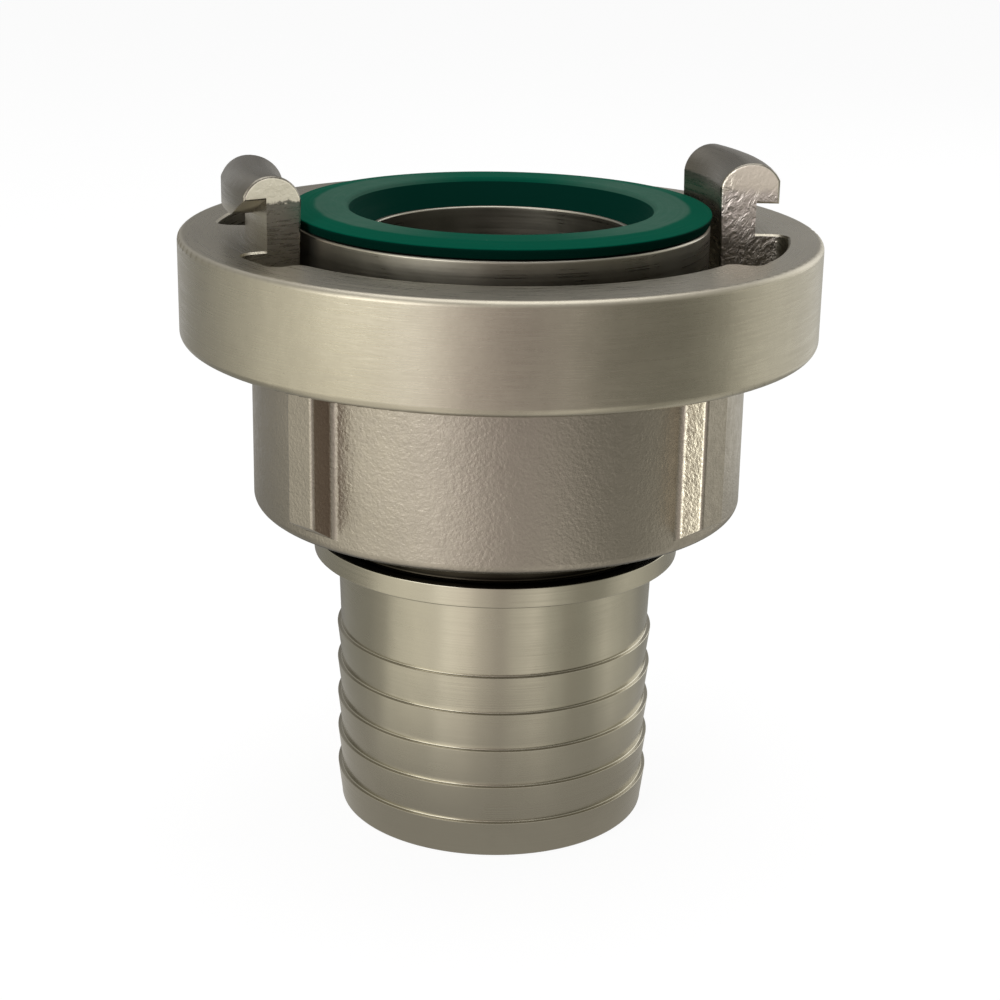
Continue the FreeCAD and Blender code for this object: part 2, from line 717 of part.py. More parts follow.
def add_ribs(body):
    """Spanner ribs on the skirt, each with a sloped lower end."""
    sketch = new_sketch(body, "rib_profile", turn=cell("rib_turn"))
    inside = grouped(total(SKIRT_R, "-rib_bedding"))
    slope_top = grouped(total(RIB_Z, "rib_end_slope"))
    rib_top = grouped(total(RIM_Z, "rim_lower_round"))
    draw_profile(sketch, [
        (inside, RIB_Z),
        (RIB_R, slope_top),
        (RIB_R, rib_top),
        (inside, rib_top),
    ])
    rib = body.newObject("PartDesign::Pad", "rib")
    rib.Profile = sketch
    rib.SideType = "Symmetric"
    rib.setExpression("Length", cell("rib_width"))
    sketch.Visibility = False
    doc.recompute()
    ribs = patterned(
        body, "ribs", [rib], "PartDesign::PolarPattern", cell("rib_count"),
        Axis=(origin_feature(body, "Z_Axis"), [""]), Angle=360,
    )

    skirt_r = value_of(SKIRT_R)
    rib_r = value_of(RIB_R)
    rim_z = value_of(RIM_Z)
    skirt_z = value_of(SKIRT_Z)
    near = 0.05

    def long_upright(feature, radius_test):
        names = pick_edges(feature, lambda point: radius_test(flat_radius(point)))
        chosen = []
        for name in names:
            edge = feature.Shape.getElement(name)
            box = edge.BoundBox
            if box.ZLength > (rim_z - skirt_z) / 2 and skirt_z < box.ZMin and box.ZMax < rim_z + near:
                chosen.append(name)
        return chosen

    feet = long_upright(ribs, lambda radius: abs(radius - skirt_r) < near)
    ribs = dressed(body, "PartDesign::Fillet", "rib_feet", ribs, feet, "rib_foot_round")
    corners = long_upright(ribs, lambda radius: rib_r - near < radius < rib_r + 4 * near)
    ribs = dressed(body, "PartDesign::Fillet", "rib_edges", ribs, corners, "rib_edge_round")
    widest = rib_r + 4 * near
    root = pick_edges(
        ribs,
        lambda point: abs(point.z - rim_z) < near and skirt_r - near < flat_radius(point) < widest,
    )
    return dressed(body, "PartDesign::Fillet", "skirt_root", ribs, root, "skirt_root_round")


def check_objects():
    """Stop if any feature failed or any piece is not a sound solid."""
    for item in doc.Objects:
        if "Invalid" in item.State or "Error" in item.State:
            raise RuntimeError("%s is %s" % (item.Name, item.State))


def export_piece(body):
    shape = body.Shape
    if shape.isNull() or not shape.isValid() or not shape.Solids:
        raise RuntimeError(body.Label + " has no sound shape")
    shape.exportStep("parts/%s.step" % body.Label)
    print(body.Label, "solids", len(shape.Solids), "volume %.1f" % shape.Volume, shape.BoundBox)


pieces = [make_hose_tail(), make_face_seal(), make_snap_ring(), make_lug_ring()]
for piece in pieces:
    piece.Placement = FreeCAD.Placement()
doc.recompute()
check_objects()
os.makedirs("parts", exist_ok=True)
for piece in pieces:
    export_piece(piece)
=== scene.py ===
import math

import bpy
from mathutils import Euler, Matrix, Vector


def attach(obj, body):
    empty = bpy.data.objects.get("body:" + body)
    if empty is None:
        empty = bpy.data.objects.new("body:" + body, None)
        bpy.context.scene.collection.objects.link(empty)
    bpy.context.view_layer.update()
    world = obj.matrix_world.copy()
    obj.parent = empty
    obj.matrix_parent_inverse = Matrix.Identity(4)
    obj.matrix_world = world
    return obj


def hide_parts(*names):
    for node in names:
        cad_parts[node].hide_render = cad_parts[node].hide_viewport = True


bl_info = {
    "name": "Quarter turn hose coupling",
    "version": (1, 0, 0),
    "blender": (4, 5, 0),
    "location": "3D View > Sidebar > Coupling",
    "description": "Models and finishes a quarter turn two-lug hose coupling round its CAD frame",
    "category": "Object",
}

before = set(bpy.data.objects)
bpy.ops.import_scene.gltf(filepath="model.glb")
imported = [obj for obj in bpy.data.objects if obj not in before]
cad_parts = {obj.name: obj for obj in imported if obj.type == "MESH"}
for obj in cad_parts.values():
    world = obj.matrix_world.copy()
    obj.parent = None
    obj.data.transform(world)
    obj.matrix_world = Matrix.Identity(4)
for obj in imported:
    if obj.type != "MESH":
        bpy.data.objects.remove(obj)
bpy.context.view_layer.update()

FULL_TURN = 2 * math.pi
UP = (0, 0, 1)
# Millimetres in a metre: 0.3 / MM is 0.3 mm
MM = 1000.0
# A point closer than this to a profile's corner is that corner
NEAR = 2e-5
# Points closer than this are merged
MERGED = NEAR / 4
# Flat steps in a rounded corner
ROUND_STEPS = 3
# Edges of the turned pieces flatter than this are shaded round
SMOOTH_ANGLE = math.radians(32)


def length(name, description, default):
    """A size in metres that a user can change."""
    return bpy.props.FloatProperty(
        name=name, description=description, default=default, unit="LENGTH", precision=5
    )


def angle(name, description, degrees):
    """An angle that a user can change."""
    return bpy.props.FloatProperty(
        name=name, description=description, default=math.radians(degrees), subtype="ANGLE"
    )


def colour(name, description, default):
    """A colour that a user can change."""
    return bpy.props.FloatVectorProperty(
        name=name, description=description, default=default, subtype="COLOR", size=3, min=0, max=1
    )


def count(name, description, default):
    """A whole number that a user can change."""
    return bpy.props.IntProperty(name=name, description=description, default=default, min=1)


def amount(name, description, default):
    """A plain number that a user can change."""
    return bpy.props.FloatProperty(name=name, description=description, default=default)


class TailSizes(bpy.types.PropertyGroup):
    """Sizes of the turned hose tail."""

    bore: length("Bore radius", "Radius of the waterway", 0.0200)
    root: length("Barb root radius", "Radius between the barbs", 0.02475)
    crest: length("Barb crest radius", "Radius of the barbs' crests", 0.0254)
    barbs: count("Barbs", "Number of barbs", 5)
    pitch: length("Barb pitch", "Distance from crest to crest", 0.0061)
    first_crest: length("First crest", "Height of the lowest crest", 0.0059)
    barb_run: length("Barb run", "Height of a barb's slope", 0.0052)
    swell: length("Neck radius", "Radius of the plain neck below the shoulder", 0.0252)
    shoulder: length("Shoulder radius", "Radius of the shoulder and of the journal", 0.0290)
    shoulder_low: length("Shoulder underside", "Height of the shoulder's underside", 0.0430)
    shoulder_high: length("Shoulder top", "Height of the shoulder's top", 0.0462)
    relief: length("Relief radius", "Radius of the relief above the shoulder", 0.0265)
    relief_high: length("Relief top", "Height of the relief's top", 0.0575)
    groove: length("Groove radius", "Radius of the snap ring's groove", 0.0280)
    groove_low: length("Groove underside", "Height of the groove's lower wall", 0.0591)
    groove_high: length("Groove top", "Height of the groove's upper wall", 0.0623)
    head: length("Head radius", "Radius of the head", 0.0320)
    head_low: length("Head underside", "Height of the head's underside", 0.0710)
    head_high: length("Head top", "Height of the collar's rim", 0.0960)
    collar: length("Collar inner radius", "Inner radius of the collar", 0.0300)
    pocket_floor: length("Pocket floor", "Height of the seal pocket's floor", 0.0920)
    land: length("Land radius", "Outer radius of the land round the waterway", 0.0220)
    land_high: length("Land top", "Height of the land", 0.0941)
    steps: count("Steps", "Steps of a full turn", 216)


class SealSizes(bpy.types.PropertyGroup):
    """Sizes of the green face seal."""

    toe: length("Toe radius", "Inner radius at the foot of the mouth", 0.0205)
    mouth: length("Mouth radius", "Inner radius of the top face", 0.0238)
    crease: length("Crease radius", "Radius where the top face starts to fall outwards", 0.0287)
    rim: length("Rim radius", "Outer radius of the overhang", 0.0322)
    seat_in: length("Seat inner radius", "Inner radius of the seated part", 0.02215)
    seat_out: length("Seat outer radius", "Outer radius of the seated part", 0.02985)
    undercut: length("Undercut radius", "Radius where the undercut meets the collar", 0.03185)
    floor: length("Floor", "Height of the underside", 0.0920)
    toe_high: length("Toe height", "Height of the toe on the land", 0.0941)
    seat_high: length("Seat height", "Height of the overhang's underside", 0.09615)
    lip_low: length("Lip underside", "Height of the rim's lower edge", 0.09735)
    lip_high: length("Lip top", "Height of the rim's upper edge", 0.09770)
    face: length("Face height", "Height of the sealing face", 0.0982)
    steps: count("Steps", "Steps of a full turn", 216)


class RingSizes(bpy.types.PropertyGroup):
    """How the cast ring's mesh is finished, and the sizes of it that its finish follows."""

    rim_low: length("Rim underside", "Height where the rim ends and the skirt starts", 0.0780)
    rim: length("Rim radius", "Outer radius of the rim", 0.0493)
    top: length("Top height", "Height of the rim's top face", 0.0942)
    top_round: length("Rim top round", "Round on the rim's upper edge", 0.0010)
    low_round: length("Rim lower round", "Round on the rim's lower edge", 0.0015)
    joined: length("Join distance", "Points closer than this are one point", 0.000004)
    smooth: angle("Smooth angle", "Edges flatter than this are shaded round", 34.0)
    bore: length("Bore radius", "Radius of the lugs' inner sides in the solid", 0.0340)
    lug_inner: length("Lug inner radius", "Radius of the lugs' inner sides as cast", 0.0334)
    neck: length("Neck radius", "A lug is thicker than in the solid inside this", 0.0390)
    lug_foot: length("Lug foot", "Height above which the lugs are thicker", 0.0938)


class WireSizes(bpy.types.PropertyGroup):
    """Sizes of the snap ring."""

    ring: length("Ring radius", "Radius of the wire's centre line", 0.02965)
    wire: length("Wire radius", "Radius of the wire", 0.0015)
    height: length("Height", "Height of the wire's centre line", 0.0607)
    split: angle("Split", "Angle of the gap between the ends", 14.0)
    end_break: length("End break", "Break on the edges of the wire's ends", 0.00025)
    sides: count("Sides", "Steps round the wire", 28)
    steps: count("Steps", "Steps along the wire", 150)


class Finishes(bpy.types.PropertyGroup):
    """Colours of the steel and the rubber."""

    cast: colour("Cast steel", "The lug ring's rim", (0.375, 0.350, 0.290))
    cast_dark: colour("Cast steel, dark", "The rim's stains and pits", (0.285, 0.262, 0.215))
    skirt: colour("Skirt", "The casting below the rim", (0.300, 0.273, 0.236))
    skirt_dark: colour("Skirt, dark", "The skirt's stains and pits", (0.225, 0.205, 0.175))
    # Painted shade: near black on the skirt's downward end face
    skirt_underside_shade: colour("Skirt, underside", "The skirt's lower end face", (0.030, 0.027, 0.022))
    # The end walls' own colour above their painted shade, and the colour of the painted light on
    # the lugs' leading faces
    cast_bright: colour("Cast steel, bright", "Bare end walls", (0.62, 0.580, 0.548))
    # Painted shade low on the end walls in the channel
    cast_wall_shade: colour("Cast steel, sooty", "End walls in the channel", (0.20, 0.185, 0.165))
    rib_shade: colour("Rib, shaded side", "The ribs' leading sides", (0.32, 0.26, 0.215))
    cast_hook: colour("Cast steel, hooks", "The hooks' round crowns", (0.140, 0.129, 0.112))
    # The ground caps' own colour brightened as a painted highlight, also the painted highlight on
    # the lead-ins, the ribs' trailing sides and the end walls' tops
    cast_ground_and_highlight: colour("Cast steel, ground", "A lug's ground leading end", (0.86, 0.82, 0.70))
    turned: colour("Turned steel", "The hose tail", (0.385, 0.362, 0.300))
    turned_dark: colour("Turned steel, dark", "Darker turning marks", (0.310, 0.290, 0.238))
    turned_head: colour("Turned steel, head", "The head in the ring", (0.262, 0.248, 0.212))
    # Painted shade: the relief that lies in the gap below the ring
    turned_gap_shade: colour("Turned steel, gap", "The relief in the ring", (0.022, 0.019, 0.014))
    rubber: colour("Rubber", "The seal's outer half", (0.0006, 0.072, 0.042))
    # Painted sheen on the seal's inner half, strongest at the sides
    rubber_sheen: colour("Rubber, pale", "The seal's rubbed inner half", (0.042, 0.105, 0.076))
    # Painted shade on the seal's walls, which stand in the cavity
    rubber_wall_shade: colour("Rubber, deep", "The seal's walls", (0.0010, 0.024, 0.016))
    rubber_speck: colour("Rubber, specks", "Specks on the inner half", (0.16, 0.22, 0.19))
    wire: colour("Wire", "The snap ring", (0.45, 0.44, 0.42))
    wire_dark: colour("Wire, dark", "The snap ring's drawing marks", (0.25, 0.24, 0.23))


class StageSizes(bpy.types.PropertyGroup):
    """Camera and lights."""

    lens: bpy.props.FloatProperty(
        name="Lens", description="Focal length of the camera", default=77.58,
        subtype="DISTANCE_CAMERA",
    )
    distance: length("Distance", "Distance of the camera in front of the axis", 0.32724)
    height: length("Height", "Height of the camera", 0.15826)
    side: length("Side", "Distance of the camera to the right of the axis", 0.00062)
    pitch: angle("Pitch", "Angle that the camera looks down", 18.23)
    roll: angle("Roll", "Angle that the camera leans", 1.05)
    key: amount("Key light", "Power of the large light on the left, in watts", 2.6)
    rear: amount("Rear light", "Power of the light behind on the right, in watts", 1.0)
    top: amount("Top light", "Power of the light overhead, in watts", 3.6)
    room: amount("Room light", "Strength of the light from all round", 0.30)
    walls: amount("Studio walls", "Brightness of the studio's walls in the metal", 1.0)


# Mesh work, as by hand

def take(piece):
    """Select one piece alone."""
    bpy.ops.object.select_all(action="DESELECT")
    piece.select_set(True)
    bpy.context.view_layer.objects.active = piece


def start_wire(name, first):
    """Start a new mesh with one point, left in edit mode."""
    bpy.ops.object.select_all(action="DESELECT")
    bpy.ops.mesh.primitive_plane_add(size=1, location=(0, 0, 0))
    piece = bpy.context.object
    piece.name = name
    piece.data.name = name
    bpy.ops.object.mode_set(mode="EDIT")
    bpy.ops.mesh.select_all(action="SELECT")
    bpy.ops.mesh.merge(type="CENTER")
    bpy.ops.transform.translate(value=first)
    return piece


def section_point(corner):
    """A profile corner as a point in the XZ plane."""
    return Vector((corner[0], 0.0, corner[1]))


def draw_section(name, corners):
    """Draw a closed profile by extruding a point from corner to corner; edit mode stays on."""
    points = [section_point(corner) for corner in corners]
    piece = start_wire(name, points[0])
    place = points[0]
    for point in points[1:] + points[:1]:
        bpy.ops.mesh.extrude_region_move(TRANSFORM_OT_translate={"value": point - place})
        place = point
    bpy.ops.mesh.select_all(action="SELECT")
    bpy.ops.mesh.remove_doubles(threshold=MERGED)
    return piece


def select_points(piece, wanted):
    """Select the points that pass a test, in edit mode."""
    bpy.ops.mesh.select_mode(type="VERT")
    bpy.ops.mesh.select_all(action="DESELECT")
    bpy.ops.object.mode_set(mode="OBJECT")
    for vertex in piece.data.vertices:
        vertex.select = wanted(vertex.co)
    bpy.ops.object.mode_set(mode="EDIT")


def round_corners(piece, corners):
    """Round the profile corners that state a radius as their third number."""
    rounded = [corner for corner in corners if len(corner) > 2]
    for radius in sorted({corner[2] for corner in rounded}):
        spots = [section_point(corner) for corner in rounded if corner[2] == radius]
        select_points(piece, lambda co: any((co - spot).length < NEAR for spot in spots))
        bpy.ops.mesh.bevel(
            affect="VERTICES", offset=radius, segments=ROUND_STEPS, offset_type="OFFSET",
            clamp_overlap=False,
        )


def spin_section(turn, steps):
    """Spin the whole edited profile round the Z axis by an angle."""
    bpy.ops.mesh.select_all(action="SELECT")
    bpy.ops.mesh.spin(steps=steps, angle=turn, center=(0, 0, 0), axis=UP, use_auto_merge=True)


def close_mesh():
    """Merge doubled points and point all faces outwards."""
    bpy.ops.mesh.select_all(action="SELECT")
    bpy.ops.mesh.remove_doubles(threshold=MERGED)
    bpy.ops.mesh.normals_make_consistent(inside=False)


def turn_piece(name, corners, steps):
    """A closed turned piece from its profile, left in edit mode."""
    piece = draw_section(name, corners)
    round_corners(piece, corners)
    spin_section(FULL_TURN, steps)
    close_mesh()
    return piece


def joined_copy(node, name, threshold):
    """A copy of a solid's mesh with its loose triangles joined, left in edit mode."""
    piece = bpy.data.objects.new(name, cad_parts[node].data.copy())
    piece.data.name = name
    bpy.context.collection.objects.link(piece)
    take(piece)
    bpy.ops.object.mode_set(mode="EDIT")
    bpy.ops.mesh.select_all(action="SELECT")
    bpy.ops.mesh.remove_doubles(threshold=threshold)
    bpy.ops.mesh.mark_sharp(clear=True)
    bpy.ops.mesh.faces_shade_smooth()
    bpy.ops.object.mode_set(mode="OBJECT")
    bpy.ops.mesh.customdata_custom_splitnormals_clear()
    bpy.ops.object.mode_set(mode="EDIT")
    return piece


def thicken_lugs(piece, size):
    """Carry the lugs' inner sides inwards, and less and less what lies further out."""
    stretch = (size.neck - size.lug_inner) / (size.neck - size.bore)
    bpy.ops.object.mode_set(mode="OBJECT")
    for vertex in piece.data.vertices:
        radius = vertex.co.xy.length
        if vertex.co.z > size.lug_foot and radius < size.neck:
            vertex.co.xy = vertex.co.xy * (size.neck - (size.neck - radius) * stretch) / radius
    bpy.ops.object.mode_set(mode="EDIT")


def finish_piece(piece, body, node, material, smooth_angle=SMOOTH_ANGLE):
    """Leave edit mode, smooth the piece and hand it over to its body."""
    bpy.ops.object.mode_set(mode="OBJECT")
    take(piece)
    bpy.ops.object.shade_smooth_by_angle(angle=smooth_angle)
    weighted = piece.modifiers.new("even shading", "WEIGHTED_NORMAL")
    weighted.keep_sharp = True
    bpy.ops.object.modifier_apply(modifier=weighted.name)
    piece.data.materials.clear()
    piece.data.materials.append(material)
    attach(piece, body)
    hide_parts(node)


# Finishes and the stage's light: small helpers that lay out nodes

class Nodes:
    """The nodes of a material or a world, laid out one by one."""

    def __init__(self, owner):
        owner.use_nodes = True
        self.tree = owner.node_tree
        self.tree.nodes.clear()

    def add(self, kind, settings=None, numbered=None, **inputs):
        """A node with its settings and its inputs, each a value or another node's output."""
        node = self.tree.nodes.new(kind)
        for key, value in (settings or {}).items():
            setattr(node, key, value)
        places = dict(numbered or {})
        places.update({key.replace("_", " "): value for key, value in inputs.items()})
        for key, value in places.items():
            if isinstance(value, bpy.types.NodeSocket):
                self.tree.links.new(value, node.inputs[key])
            else:
                node.inputs[key].default_value = value
        return node

    def sum(self, operation, *values):
        """One arithmetic step."""
        node = self.add("ShaderNodeMath", {"operation": operation}, dict(enumerate(values)))
        return node.outputs[0]

    def times(self, first, second):
        """Two values multiplied."""
        return self.sum("MULTIPLY", first, second)

    def larger(self, first, second):
        """The larger of two values."""
        return self.sum("MAXIMUM", first, second)

    def vector(self, operation, *values, **named):
        """One arithmetic step with vectors."""
        node = self.add(
            "ShaderNodeVectorMath", {"operation": operation}, dict(enumerate(values)), **named
        )
        return node.outputs["Value" if operation in ("LENGTH", "DOT_PRODUCT") else "Vector"]

    def ramp(self, value, low, high, bottom=0.0, top=1.0):
        """A value carried smoothly from one range to another, and held at its ends."""
        node = self.add(
            "ShaderNodeMapRange", {"interpolation_type": "SMOOTHSTEP"},
            {0: value, 1: low, 2: high, 3: bottom, 4: top},
        )
        return node.outputs[0]

    def fall(self, value, low, high):
        """1 below a range and 0 above it."""
        return self.ramp(value, low, high, 1.0, 0.0)

    def mix_colour(self, factor, first, second):
        """One colour that goes over into another, each three numbers or a node's output."""
        ends = {
            index: value if isinstance(value, bpy.types.NodeSocket) else (*value, 1.0)
            for index, value in ((6, first), (7, second))
        }
        return self.add("ShaderNodeMix", {"data_type": "RGBA"}, {0: factor, **ends}).outputs[2]

    def mix_shader(self, factor, first, second):
        """One shader that goes over into another."""
        return self.add("ShaderNodeMixShader", {}, {0: factor, 1: first, 2: second}).outputs[0]


class Finish(Nodes):
    """A material of the coupling, with its patterns and its relief."""

    def __init__(self, name):
        self.material = bpy.data.materials.new(name)
        super().__init__(self.material)
        coordinates = self.add("ShaderNodeTexCoord")
        self.place = coordinates.outputs["Object"]
        self.normal = coordinates.outputs["Normal"]
        split = self.add("ShaderNodeSeparateXYZ", Vector=self.place)
        self.x, self.z = split.outputs["X"], split.outputs["Z"]
        flat = self.vector("MULTIPLY", self.place, (1, 1, 0))
        self.out_way = self.vector("NORMALIZE", flat)
        self.radius = self.vector("LENGTH", flat)

    def band(self, value, low, high, edge):
        """1 between two limits and 0 outside them, with soft edges."""
        rise = self.ramp(value, low - edge, low + edge)
        return self.times(rise, self.fall(value, high - edge, high + edge))

    def noise(self, where, scale, detail=3.0, rough=0.5, bend=0.0):
        """Cloud noise between about 0 and 1."""
        node = self.add(
            "ShaderNodeTexNoise", {"noise_dimensions": "3D"},
            Vector=where, Scale=scale, Detail=detail, Roughness=rough, Distortion=bend,
        )
        return node.outputs["Fac"]

    def upright(self, height):
        """A vector straight up, this long."""
        return self.add("ShaderNodeCombineXYZ", {}, {2: height}).outputs[0]

    def round_marks(self, along, across):
        """Coordinates that are drawn out round the axis: marks as a lathe or a brush leaves them.

        A mark is along metres long round a circle and across metres wide over the profile.
        """
        mid_radius = 0.04
        ring = self.vector("SCALE", self.out_way, Scale=mid_radius / along)
        profile = self.sum("ADD", self.z, self.radius)
        return self.vector("ADD", ring, self.upright(self.times(profile, 1 / across)))

    def wall_marks(self, lean, along, across):
        """Coordinates of creases in a wall across the ring, leaning by an angle in degrees."""
        cosine, sine = math.cos(math.radians(lean)), math.sin(math.radians(lean))
        far = self.sum("MULTIPLY_ADD", self.z, sine, self.times(self.radius, cosine))
        off = self.sum("MULTIPLY_ADD", self.z, cosine, self.times(self.radius, -sine))
        steps = {
            0: self.times(far, 1 / along),
            1: self.times(off, 1 / across),
            2: self.times(self.x, 1 / along),
        }
        return self.add("ShaderNodeCombineXYZ", {}, steps).outputs[0]

    def blend(self, factor, first, second):
        """A value between two others."""
        node = self.add("ShaderNodeMix", {"data_type": "FLOAT"}, {0: factor, 2: first, 3: second})
        return node.outputs[0]

    def sway(self, value, pattern, reach):
        """A height or a border that a pattern carries evenly to both sides."""
        return self.sum("MULTIPLY_ADD", self.sum("SUBTRACT", pattern, 0.5), reach, value)

    def round_edge(self, normal, radius, height, side):
        """The true normal of a round edge about a circle, which the mesh only comes near.

        The circle is given by its radius and height, and side says to which side of it
        the edge lies: GREATER_THAN for above and LESS_THAN for below.
        """
        outside = self.sum("GREATER_THAN", self.radius, radius)
        here = self.times(outside, self.sum(side, self.z, height))
        out = self.vector("SCALE", self.out_way, Scale=self.sum("SUBTRACT", self.radius, radius))
        lift = self.upright(self.sum("SUBTRACT", self.z, height))
        true = self.vector("NORMALIZE", self.vector("ADD", out, lift))
        ends = {0: here, 4: normal, 5: true}
        return self.add("ShaderNodeMix", {"data_type": "VECTOR"}, ends).outputs[1]

    def leaned(self, normal, where, slope):
        """A piece's own normal turned into the room's, leaned upwards where a mask says so."""
        lean = self.vector("MULTIPLY_ADD", where, (0, 0, slope), normal)
        turn = self.add(
            "ShaderNodeVectorTransform",
            {"vector_type": "NORMAL", "convert_from": "OBJECT", "convert_to": "WORLD"},
            Vector=lean,
        )
        return self.vector("NORMALIZE", turn.outputs[0])

    def bump(self, height, normal=None):
        """Surface relief from a height in metres, on the surface's own normal or another one."""
        base = {} if normal is None else {"Normal": normal}
        return self.add("ShaderNodeBump", Height=height, Distance=1.0, **base).outputs["Normal"]

    def done(self, base, roughness, normal, metallic, specular=0.5):
        """Join everything to the surface shader."""
        shader = self.add(
            "ShaderNodeBsdfPrincipled", {}, {"Specular IOR Level": specular},
            Base_Color=base, Roughness=roughness, Normal=normal, Metallic=metallic,
        )
        self.add("ShaderNodeOutputMaterial", {}, {0: shader.outputs[0]})
        return self.material


# Where the casting's finish, its painted light and its painted shade change: heights and radii in
# metres, each from start to end
SKIRT_BLEND = 0.4 / MM
SKIRT_FOOT = (0.0530, 0.0545)
RIM_EDGE = (0.0470, 0.0478)
CHANNEL_HEM = (0.0345, 0.0365)
WALL_SHADE_END = (0.0925, 0.0965)
LUG_LIGHT_RISE = (0.086, 0.101)
HOOK = (0.0990, 0.1010)
HOOK_SMOOTH = (0.0995, 0.1015)
END_TOP_LIGHT = (0.1000, 0.1016)
GROUND_CAP = (0.1010, 0.1014)
# How far a surface faces round the axis or upwards, from -1 to 1
TRAILING = (-0.97, -0.80)
LEADING = (0.90, 0.985)
LEAD_IN = (0.38, 0.54, 0.05)
DOWNWARD = (-0.82, -0.50)
NOT_DOWN = (-0.80, -0.65)
EDGE_ROUND = (0.25, 0.93, 0.10)
# How far the ground cap's normals lean upwards
CAP_LEAN = 0.32


